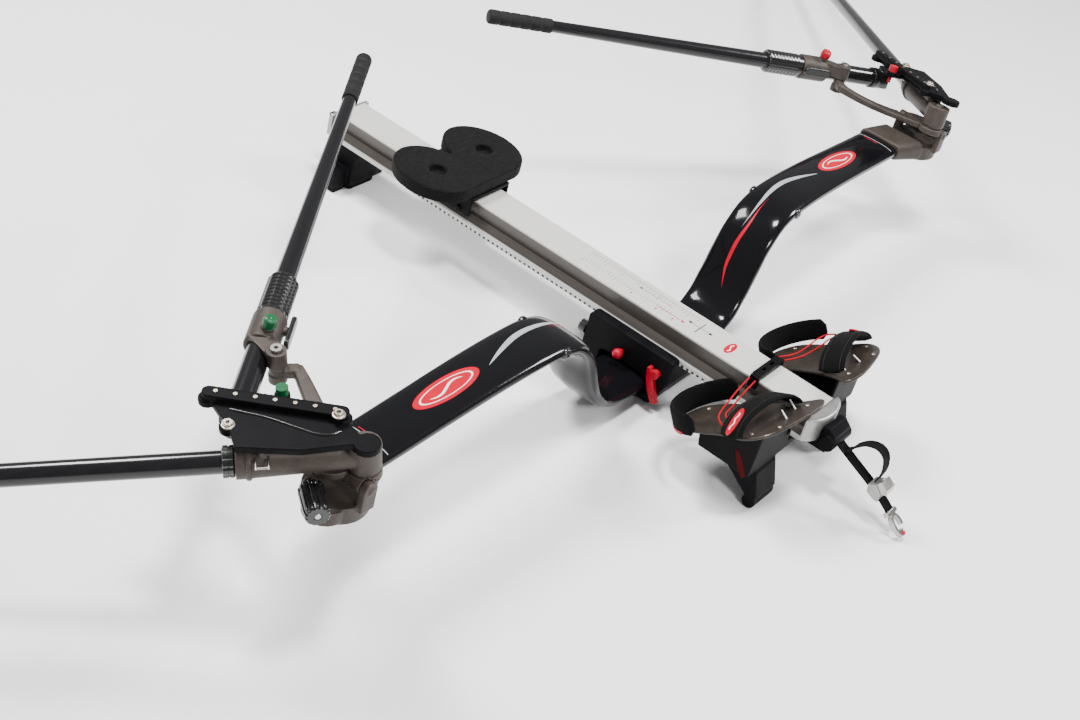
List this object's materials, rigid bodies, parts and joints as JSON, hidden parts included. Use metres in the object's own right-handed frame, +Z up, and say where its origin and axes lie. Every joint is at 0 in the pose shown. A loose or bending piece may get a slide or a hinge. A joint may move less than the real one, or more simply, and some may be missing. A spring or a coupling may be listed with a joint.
{
  "type": "forward-facing sliding-seat rowing rig with articulated oars",
  "caption": "Drop-in rowing rig: notched monorail with sliding seat and foot stretcher, two carbon wings, and articulated two-part oars that let the rower face forward.",
  "frame": {"origin": "centre line of the monorail on its top face, in line with the wing clamp", "axes": "+Z up from the rail's top face, +Y along the rail towards the foot stretcher (the bow), +X to starboard"},
  "size_m": [4.9744, 1.9691, 0.4269],
  "materials": {
    "carbon": "gloss",
    "olive_carbon": "gloss",
    "bronze_casting": "satin",
    "black_plastic": "matte",
    "black_rubber": "matte",
    "seat_foam": "matte",
    "rail": "satin",
    "rack": "satin",
    "steel": "brushed",
    "silver_paint": "satin",
    "roller": "satin",
    "red_plastic": "gloss",
    "green_plastic": "gloss",
    "foot_plate": "satin",
    "strap": "woven",
    "red_cord": "woven",
    "wing_carbon": "gloss"
  },
  "bodies": {
    "rig_base": {"monorail": "rail", "rack_strips": "rack", "rail_end_caps": "silver_paint", "rear_foot": "black_plastic", "clamp_housing": "black_plastic", "starboard_wing": "wing_carbon", "port_wing": "wing_carbon", "starboard_end_casting": "bronze_casting", "port_end_casting": "bronze_casting", "front_bracket": "black_plastic", "web_strap": "strap", "cam_buckle": "silver_paint", "snap_hook": "steel"},
    "starboard_yoke": {"starboard_yoke": "bronze_casting", "starboard_pivot_pins": "steel"},
    "starboard_collar": {"starboard_collar": "bronze_casting", "starboard_tail_block": "bronze_casting"},
    "starboard_collar_knob": {"starboard_collar_knob": "green_plastic"},
    "starboard_collar_lever": {"starboard_collar_lever": "bronze_casting"},
    "starboard_handle": {"starboard_handle_shaft": "carbon", "starboard_handle_sleeve": "black_rubber", "starboard_grip": "black_rubber"},
    "starboard_outboard": {"starboard_outboard_socket": "bronze_casting", "starboard_guide_plate": "black_plastic", "starboard_plate_screws": "steel"},
    "starboard_release_knob": {"starboard_release_knob": "green_plastic"},
    "starboard_wire_clip": {"starboard_wire_clip": "steel"},
    "starboard_blade": {"starboard_outboard_shaft": "olive_carbon", "starboard_blade": "carbon"},
    "starboard_height_knob": {"starboard_height_knob": "black_plastic"},
    "port_yoke": {"port_yoke": "bronze_casting", "port_pivot_pins": "steel"},
    "port_collar": {"port_collar": "bronze_casting", "port_tail_block": "bronze_casting"},
    "port_collar_knob": {"port_collar_knob": "red_plastic"},
    "port_collar_lever": {"port_collar_lever": "bronze_casting"},
    "port_handle": {"port_handle_shaft": "carbon", "port_handle_sleeve": "black_rubber", "port_grip": "black_rubber"},
    "port_outboard": {"port_outboard_socket": "bronze_casting", "port_guide_plate": "black_plastic", "port_plate_screws": "steel"},
    "port_release_knob": {"port_release_knob": "red_plastic"},
    "port_wire_clip": {"port_wire_clip": "steel"},
    "port_blade": {"port_outboard_shaft": "olive_carbon", "port_blade": "carbon"},
    "port_height_knob": {"port_height_knob": "black_plastic"},
    "seat": {"seat_pad": "seat_foam", "seat_carriage": "bronze_casting"},
    "seat_front_rollers": {"seat_front_rollers": "roller"},
    "seat_rear_rollers": {"seat_rear_rollers": "roller"},
    "stretcher": {"stretcher_frame": "black_plastic", "foot_plates": "foot_plate", "foot_straps": "strap", "cord_bracket": "black_plastic", "foot_cords": "red_cord"},
    "wing_lock_knob": {"wing_lock_knob": "red_plastic"},
    "wing_clamp_lever": {"wing_clamp_lever": "red_plastic"},
    "rail_position_knob": {"rail_position_knob": "black_plastic"},
    "cam_lever": {"cam_lever": "steel"}
  },
  "joints": [
    {"name": "starboard_dip", "type": "hinge", "parent": "rig_base", "child": "starboard_yoke", "pos_m": [0.948, 0.059, 0.128], "axis": [0, 1, 0], "range_deg": [-6, 6]},
    {"name": "starboard_outboard_swing", "type": "hinge", "parent": "starboard_yoke", "child": "starboard_outboard", "pos_m": [0.93, 0.087, 0.128], "axis": [0.16, -0.06, 0.9853], "range_deg": [0, 87.5]},
    {"name": "starboard_handle_swing", "type": "hinge", "parent": "starboard_yoke", "child": "starboard_collar", "pos_m": [0.88429, -0.14211, 0.12147], "axis": [0.16, -0.06, 0.9853], "range_deg": [-70, 0]},
    {"name": "starboard_blade_feather", "type": "hinge", "parent": "starboard_outboard", "child": "starboard_blade", "pos_m": [1.07285, -0.03824, 0.14386], "axis": [0.7324, -0.662, -0.1593], "range_deg": [0, 90]},
    {"name": "starboard_handle_twist", "type": "hinge", "parent": "starboard_collar", "child": "starboard_handle", "pos_m": [0.95012, -0.1455, 0.15827], "axis": [-0.8292, -0.5497, 0.1012], "range_deg": [0, 90]},
    {"name": "starboard_collar_knob_pull", "type": "slide", "parent": "starboard_collar", "child": "starboard_collar_knob", "axis": [-0.0062, 0.1901, 0.9817], "range_m": [0, 0.006], "stiffness_N_per_m": 600},
    {"name": "starboard_collar_lever_turn", "type": "hinge", "parent": "starboard_collar", "child": "starboard_collar_lever", "pos_m": [0.84896, -0.21256, 0.17062], "axis": [-0.5355, 0.8332, 0.1377], "range_deg": [0, 60]},
    {"name": "starboard_release_knob_pull", "type": "slide", "parent": "starboard_outboard", "child": "starboard_release_knob", "axis": [0.16, -0.06, 0.9853], "range_m": [0, 0.006], "stiffness_N_per_m": 600},
    {"name": "starboard_wire_clip_turn", "type": "hinge", "parent": "starboard_outboard", "child": "starboard_wire_clip", "pos_m": [1.06045, -0.00095, 0.17047], "axis": [0.7324, -0.662, -0.1593], "range_deg": [0, 20]},
    {"name": "starboard_height_knob_turn", "type": "hinge", "parent": "rig_base", "child": "starboard_height_knob", "pos_m": [1.011, 0.063, 0.112], "axis": [0.5647, 0.8253, 0], "continuous": true},
    {"name": "port_dip", "type": "hinge", "parent": "rig_base", "child": "port_yoke", "pos_m": [-0.948, 0.059, 0.128], "axis": [0, 1, 0], "range_deg": [-6, 6]},
    {"name": "port_outboard_swing", "type": "hinge", "parent": "port_yoke", "child": "port_outboard", "pos_m": [-0.93, 0.087, 0.128], "axis": [-0.16, -0.06, 0.9853], "range_deg": [-87.5, 0]},
    {"name": "port_handle_swing", "type": "hinge", "parent": "port_yoke", "child": "port_collar", "pos_m": [-0.88429, -0.14211, 0.12147], "axis": [-0.16, -0.06, 0.9853], "range_deg": [0, 70]},
    {"name": "port_blade_feather", "type": "hinge", "parent": "port_outboard", "child": "port_blade", "pos_m": [-1.07285, -0.03824, 0.14386], "axis": [-0.7324, -0.662, -0.1593], "range_deg": [-90, 0]},
    {"name": "port_handle_twist", "type": "hinge", "parent": "port_collar", "child": "port_handle", "pos_m": [-0.95012, -0.1455, 0.15827], "axis": [0.8292, -0.5497, 0.1012], "range_deg": [-90, 0]},
    {"name": "port_collar_knob_pull", "type": "slide", "parent": "port_collar", "child": "port_collar_knob", "axis": [0.0062, 0.1901, 0.9817], "range_m": [0, 0.006], "stiffness_N_per_m": 600},
    {"name": "port_collar_lever_turn", "type": "hinge", "parent": "port_collar", "child": "port_collar_lever", "pos_m": [-0.84896, -0.21256, 0.17062], "axis": [0.5355, 0.8332, 0.1377], "range_deg": [-60, 0]},
    {"name": "port_release_knob_pull", "type": "slide", "parent": "port_outboard", "child": "port_release_knob", "axis": [-0.16, -0.06, 0.9853], "range_m": [0, 0.006], "stiffness_N_per_m": 600},
    {"name": "port_wire_clip_turn", "type": "hinge", "parent": "port_outboard", "child": "port_wire_clip", "pos_m": [-1.06045, -0.00095, 0.17047], "axis": [-0.7324, -0.662, -0.1593], "range_deg": [-20, 0]},
    {"name": "port_height_knob_turn", "type": "hinge", "parent": "rig_base", "child": "port_height_knob", "pos_m": [-1.011, 0.063, 0.112], "axis": [-0.5647, 0.8253, 0], "continuous": true},
    {"name": "seat_slide", "type": "slide", "parent": "rig_base", "child": "seat", "axis": [0, 1, 0], "range_m": [-0.17, 0.42]},
    {"name": "seat_front_rollers_turn", "type": "hinge", "parent": "seat", "child": "seat_front_rollers", "pos_m": [0, -0.448, -0.022], "axis": [1, 0, 0], "continuous": true},
    {"name": "seat_rear_rollers_turn", "type": "hinge", "parent": "seat", "child": "seat_rear_rollers", "pos_m": [0, -0.562, -0.022], "axis": [1, 0, 0], "continuous": true},
    {"name": "stretcher_slide", "type": "slide", "parent": "rig_base", "child": "stretcher", "axis": [0, 1, 0], "range_m": [-0.075, 0.005]},
    {"name": "wing_lock_knob_pull", "type": "slide", "parent": "rig_base", "child": "wing_lock_knob", "axis": [1, 0, 0], "range_m": [0, 0.008], "stiffness_N_per_m": 800},
    {"name": "wing_clamp_lever_turn", "type": "hinge", "parent": "rig_base", "child": "wing_clamp_lever", "pos_m": [0.0905, 0.099, -0.076], "axis": [1, 0, 0], "range_deg": [0, 30]},
    {"name": "rail_position_knob_turn", "type": "hinge", "parent": "rig_base", "child": "rail_position_knob", "pos_m": [0.08, -0.076, -0.084], "axis": [0, -1, 0], "continuous": true},
    {"name": "cam_lever_lift", "type": "hinge", "parent": "rig_base", "child": "cam_lever", "pos_m": [0, 0.552, -0.0712], "axis": [1, 0, 0], "range_deg": [0, 30], "stiffness_Nm_per_rad": 0.3}
  ],
  "couplings": [
    {"joint": "starboard_handle_swing", "follows": "starboard_outboard_swing", "ratio": -0.8},
    {"joint": "starboard_handle_twist", "follows": "starboard_blade_feather", "ratio": 1},
    {"joint": "port_handle_swing", "follows": "port_outboard_swing", "ratio": -0.8},
    {"joint": "port_handle_twist", "follows": "port_blade_feather", "ratio": 1},
    {"joint": "seat_front_rollers_turn", "follows": "seat_slide", "rad_per_m": -103.09},
    {"joint": "seat_rear_rollers_turn", "follows": "seat_slide", "rad_per_m": -103.09}
  ]
}
